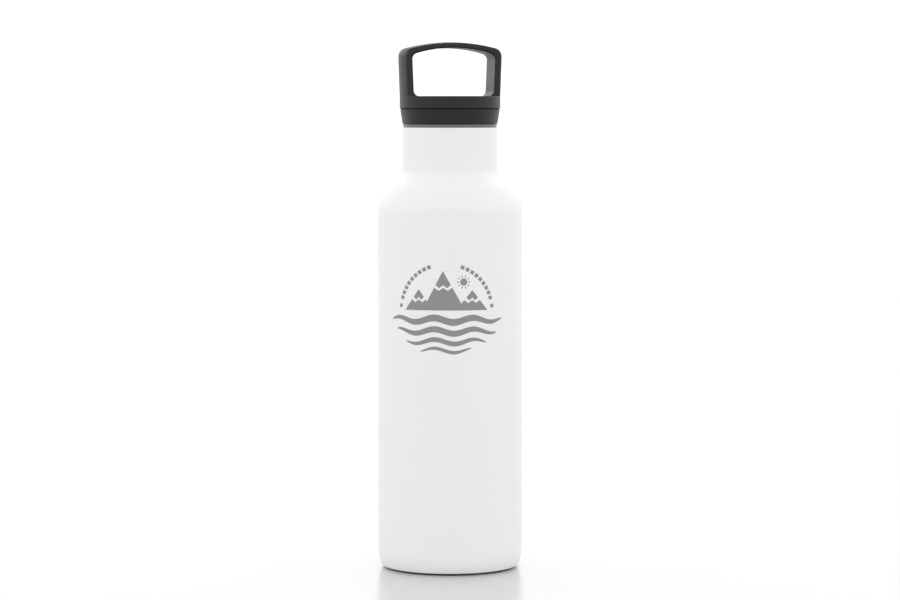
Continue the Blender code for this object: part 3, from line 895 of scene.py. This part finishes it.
def make_threaded_plug(material):
    """Tapered collar with a land under the cap's lip, over a hollow plug with the male thread."""
    low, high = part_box("threaded_plug")
    gasket_low, gasket_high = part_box("lid_gasket")
    bottom = gasket_low.z
    seat = gasket_high.z + GASKET_CLEARANCE
    seam = high.z - LAND_RISE
    floor = low.z + PLUG_FLOOR
    cup = seam - LID_CUP_DEPTH
    head = rounded([
        (0.0, floor, 0),
        (PLUG_BORE, floor, 0),
        (PLUG_BORE, cup, 0),
        (LID_CUP_BORE, cup, 0),
        (LID_CUP_BORE, high.z, 0),
        (LAND_RADIUS, high.z, SEAM_ROUNDING),
        (LAND_RADIUS, seam, 0),
        (LID_SEAM_RADIUS, seam, SEAM_ROUNDING),
        (LID_BOTTOM_RADIUS, bottom, LID_EDGE_ROUNDING),
        (LID_CUP_BORE, bottom, SEAM_ROUNDING),
        (LID_CUP_BORE, seat, 0),
        (PLUG_RADIUS, seat, 0),
    ])
    wall = filled([(PLUG_RADIUS, seat), (PLUG_RADIUS, low.z + 2 * PLUG_ROUNDING)], THREAD_ROW)
    tail = rounded([
        (PLUG_RADIUS, low.z + 2 * PLUG_ROUNDING, 0),
        (PLUG_RADIUS, low.z, PLUG_ROUNDING),
        (PLUG_RECESS_RADIUS, low.z, SEAM_ROUNDING),
        (PLUG_RECESS_RADIUS, low.z + PLUG_RECESS_DEPTH, SEAM_ROUNDING),
        (0.0, low.z + PLUG_RECESS_DEPTH, 0),
    ])
    start = THREAD_START + THREAD_LEAD / 2
    wall_low = PLUG_RADIUS - THREAD_MARGIN
    wall_high = PLUG_RADIUS + THREAD_MARGIN
    relief = thread_relief(start, THREAD_HEIGHT, wall_low, wall_high)
    outline = head + wall[1:-1] + tail
    return turned("lid_collar_and_plug", outline, material, closed=False, relief=relief)


def make_seam_shadow_ring(material):
    """Matt black ring of painted shadow, at the back of the seam between the lid body and the cap."""
    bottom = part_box("threaded_plug")[1].z - LAND_RISE + SEAM_SHADE_CLEARANCE
    top = bottom + SEAM_GAP - 2 * SEAM_SHADE_CLEARANCE
    inner = LAND_RADIUS + SEAM_SHADE_CLEARANCE
    outer = LAND_RADIUS + SEAM_SHADE_THICKNESS
    outline = [(inner, top), (outer, top), (outer, bottom), (inner, bottom)]
    return turned("lid_seam_shadow_ring", outline, material)


def make_gasket(material):
    """Silicone ring under the collar."""
    low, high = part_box("lid_gasket")
    bore = PLUG_RADIUS + GASKET_BORE_CLEARANCE
    outline = rounded([
        (high.x, high.z, GASKET_ROUNDING),
        (high.x, low.z, GASKET_ROUNDING),
        (bore, low.z, GASKET_ROUNDING),
        (bore, high.z, GASKET_ROUNDING),
    ], closed=True)
    return turned("silicone_gasket", outline, material)


def loop_skin(top, base):
    """A function that says how far out the turned skin of the cap and loop is at any height."""
    edge = math.asin(LOOP_SHOULDER_RADIUS / LOOP_DOME_RADIUS)
    centre = (0.0, top - LOOP_DOME_RADIUS)
    dome = arc(centre, LOOP_DOME_RADIUS, 90, 90 - math.degrees(edge), 4 * BEND_STEPS)
    # The dome's last points are left out, to make room for the rounded corner
    corners = [(x, z, 0) for x, z in dome[:-LOOP_DOME_SPARE]]
    corners += [
        (*dome[-1], LOOP_CORNER),
        (LOOP_SHOULDER_RADIUS, top - LOOP_SHOULDER_DROP, LOOP_FLARE_BLEND),
        (CAP_RADIUS, base, LOOP_FLARE_BLEND),
        (CAP_RADIUS, base - CAP_HEIGHT, 0),
    ]
    profile = np.array(rounded(corners, steps=2 * BEND_STEPS))[::-1]

    def radius_at(height):
        return np.interp(height, profile[:, 1], profile[:, 0], right=-1.0)

    return radius_at


def window_side(top, base):
    """Right half of the window's edge, from its foot up the leg and over to the crown.

    Each station is (x, z, tilt), where tilt is how far the loop's section leans: none in a leg,
    a quarter turn at the crown.
    """
    centre = (0.0, top - WINDOW_CROWN_DROP - WINDOW_ARCH_RADIUS)
    reach = math.degrees(math.asin(WINDOW_TOP_HALF / WINDOW_ARCH_RADIUS))
    arch = arc(centre, WINDOW_ARCH_RADIUS, 90 - reach, 90, 2 * BEND_STEPS)
    corners = [(0.0, base, 0), (WINDOW_BOTTOM_HALF, base, WINDOW_CORNER), (*arch[0], WINDOW_CORNER)]
    corners += [(x, z, 0) for x, z in arch if x < WINDOW_TOP_HALF - WINDOW_CORNER]
    edge = np.array(filled(rounded(corners, steps=BEND_STEPS)[1:], STATION_SPACING))
    along = np.gradient(edge, axis=0)
    tilt = np.maximum(0.0, np.arctan2(-along[:, 0], along[:, 1]))
    return list(zip(edge[:, 0], edge[:, 1], tilt))


def places_across():
    """Places across the loop's thickness, close together in its rounded edges, wide apart between."""
    flat = LOOP_THICKNESS / 2 - LOOP_EDGE
    turns = np.linspace(0, math.pi / 2, CORNER_STEPS + 1)
    edge = [flat + LOOP_EDGE * math.sin(turn) for turn in turns]
    middle = np.linspace(-flat, flat, FACE_PLACES + 1)
    return np.concatenate(([-place for place in edge[:0:-1]], middle, edge[1:]))


def section(x, z, tilt, across, skin):
    """Closed section of the loop at a station: out from the window's edge to the turned skin."""
    low = np.zeros(len(across))
    high = np.full(len(across), LOOP_THICKNESS)
    for _ in range(BISECTIONS):
        middle = (low + high) / 2
        radius = np.hypot(x + middle * math.cos(tilt), across)
        inside = radius <= skin(z + middle * math.sin(tilt))
        low = np.where(inside, middle, low)
        high = np.where(inside, high, middle)
    over = np.maximum(0.0, np.abs(across) - (LOOP_THICKNESS / 2 - LOOP_EDGE))
    drawn_back = LOOP_EDGE - np.sqrt(np.maximum(0.0, LOOP_EDGE ** 2 - over ** 2))
    distance = np.concatenate((drawn_back, (low - drawn_back)[::-1]))
    places = np.concatenate((across, across[::-1]))
    return np.column_stack((x + distance * math.cos(tilt), places, z + distance * math.sin(tilt)))


def make_loop(top, base, material):
    """The carry loop: sections swept round the window, each foot sunk a little into the cap."""
    skin = loop_skin(top, base)
    across = places_across()
    side = window_side(top, base)
    half = [section(x, z, tilt, across, skin) for x, z, tilt in side]
    foot = half[0].copy()
    foot[:, 2] -= LOOP_FOOT
    root = foot.copy()
    root[:, 2] -= LOOP_ROOT - LOOP_FOOT
    root[:, 0] -= (LOOP_ROOT - LOOP_FOOT) * np.repeat((-1, 1), len(across))
    half = [root, foot] + half
    rings = half + [ring * (-1, 1, 1) for ring in half[-2::-1]]
    count = len(rings[0])
    faces = []
    for station in range(len(rings) - 1):
        for step in range(count):
            first = station * count
            after = (step + 1) % count
            faces.append((first + step, first + after, first + count + after, first + count + step))
    faces.append(tuple(range(count))[::-1])
    faces.append(tuple(range(count * (len(rings) - 1), count * len(rings))))
    return new_piece("loop", np.concatenate(rings), faces, material)


def make_carry_handle(material):
    """Cap and carry loop in one moulding."""
    low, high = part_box("carry_handle")
    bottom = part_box("threaded_plug")[1].z - LAND_RISE + SEAM_GAP
    base = bottom + CAP_HEIGHT
    outline = rounded([
        (0.0, base, 0),
        (CAP_RADIUS, base, CAP_EDGE),
        (CAP_RADIUS, bottom, SEAM_ROUNDING),
        (LIP_BORE, bottom, 0),
        (LIP_BORE, bottom + REBATE_DEPTH, 0),
        (SPIGOT_RADIUS, bottom + REBATE_DEPTH, 0),
        (SPIGOT_RADIUS, low.z, SEAM_ROUNDING),
        (SPIGOT_BORE, low.z, SEAM_ROUNDING),
        (SPIGOT_BORE, base - CAP_WALL, 0),
        (0.0, base - CAP_WALL, 0),
    ])
    cap = turned("cap", outline, material, closed=False)
    return united("cap_and_carry_loop", cap, make_loop(high.z, base, material), material)


# ---------------------------------------------------------------- stage


def make_floor():
    """A wide flat floor, a hair below the bottle's foot."""
    shape = bmesh.new()
    bmesh.ops.create_grid(shape, x_segments=1, y_segments=1, size=FLOOR_REACH)
    mesh = bpy.data.meshes.new("floor")
    shape.to_mesh(mesh)
    shape.free()
    floor = bpy.data.objects.new("floor", mesh)
    floor.location.z = -FLOOR_DROP
    mesh.materials.append(studio_floor())
    bpy.context.scene.collection.objects.link(floor)


def make_light():
    """A white room of soft light: strongest at the backdrop, weaker overhead and low down."""
    world = bpy.data.worlds.new("studio")
    world.use_nodes = True
    tree = world.node_tree
    background = tree.nodes["Background"]
    background.inputs["Color"].default_value = (1.0, 1.0, 1.0, 1.0)
    direction = add(tree, "ShaderNodeTexCoord").outputs["Generated"]
    up = add(tree, "ShaderNodeSeparateXYZ", {"Vector": direction}).outputs["Z"]
    behind = (-math.sin(VIEW_AZIMUTH), math.cos(VIEW_AZIMUTH), 0.0)
    away = add(tree, "ShaderNodeVectorMath", {0: direction, 1: behind}, operation="DOT_PRODUCT")
    gain = ramp(tree, away.outputs["Value"], -1.0, 1.0, -BACKDROP_GAIN, BACKDROP_GAIN)
    walls = ramp(tree, up, 0.0, 1.0, WALL_LIGHT, WALL_LIGHT - CEILING_LOSS)
    skirting = ramp(tree, up, HORIZON_LOW, HORIZON_HIGH, -HORIZON_LOSS, 0.0)
    total = math_node(tree, "ADD", math_node(tree, "ADD", gain, walls), skirting)
    tree.links.new(total, background.inputs["Strength"])
    bpy.context.scene.world = world


def make_camera():
    """The photographer's viewpoint, with colours shown as they are."""
    camera = bpy.data.cameras.new("camera")
    camera.lens = FOCAL_LENGTH
    camera.sensor_width = SENSOR_WIDTH
    camera.clip_start = NEAREST_SEEN
    camera.clip_end = FARTHEST_SEEN
    eye = bpy.data.objects.new("camera", camera)
    eye.location = (
        VIEW_DISTANCE * math.sin(VIEW_AZIMUTH),
        -VIEW_DISTANCE * math.cos(VIEW_AZIMUTH),
        EYE_HEIGHT,
    )
    eye.rotation_euler = (math.pi / 2 - VIEW_TILT, 0.0, VIEW_AZIMUTH)
    bpy.context.scene.collection.objects.link(eye)
    bpy.context.scene.camera = eye
    bpy.context.scene.view_settings.view_transform = "Standard"
    bpy.context.scene.view_settings.look = "None"


def dress_hidden_nodes(steel):
    """Materials for the sealed-in pieces, which keep their CAD meshes."""
    glass = grainy("seal_glass", (0.30, 0.26, 0.20), roughness=0.22, grain=900.0, relief=0.00003)
    powder = grainy("getter_powder", (0.18, 0.17, 0.17), roughness=0.90, grain=4000.0, relief=0.00008)
    foam = grainy("lid_foam", (0.80, 0.78, 0.72), roughness=0.92, grain=1500.0, relief=0.00015)
    looks = {
        "liner_foil": crumpled_foil(),
        "vacuum_base": steel,
        "vacuum_seal": glass,
        "getter_tablet": powder,
        "getter_clip": steel,
        "lid_insulation": foam,
    }
    for node, material in looks.items():
        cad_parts[node].material_slots[0].material = material


def main():
    white = powder_coat()
    steel = turned_steel("bare_steel", STEEL_COLOUR, STEEL_ROUGHNESS)
    # The rim is bare steel whose darker colour is painted shade under the lid's collar
    rim_steel = turned_steel("rim_steel_painted_shade", RIM_COLOUR, RIM_ROUGHNESS)
    # The foot ring's near-black steel is painted shadow at the bottle's foot
    foot_shade_steel = turned_steel("foot_ring_painted_shade", FOOT_SHADE_COLOUR, FOOT_SHADE_ROUGHNESS)
    plastic = charcoal_plastic()
    place_on(make_outer_shell(white), "bottle", "powder_coat", "outer_shell")
    place_on(make_foot_ring(foot_shade_steel), "bottle", "powder_coat")
    place_on(make_emblem(ink()), "bottle", "powder_coat")
    place_on(make_mouth_rim(rim_steel), "bottle", "bare_steel", "mouth_rim")
    place_on(make_liner(steel), "bottle", "bare_steel", "inner_liner")
    place_on(make_liner_base(steel), "bottle", "bare_steel", "liner_base")
    place_on(make_base_cover(steel), "bottle", "bare_steel", "base_cover")
    place_on(make_threaded_plug(plastic), "lid", "charcoal_plastic", "threaded_plug")
    # The seam's matt black ring is painted shadow
    place_on(make_seam_shadow_ring(seam_painted_shadow()), "lid", "charcoal_plastic")
    place_on(make_gasket(silicone()), "gasket", "silicone", "lid_gasket")
    place_on(make_carry_handle(plastic), "lid", "charcoal_plastic", "carry_handle")
    dress_hidden_nodes(steel)
    make_floor()
    make_light()
    make_camera()


main()
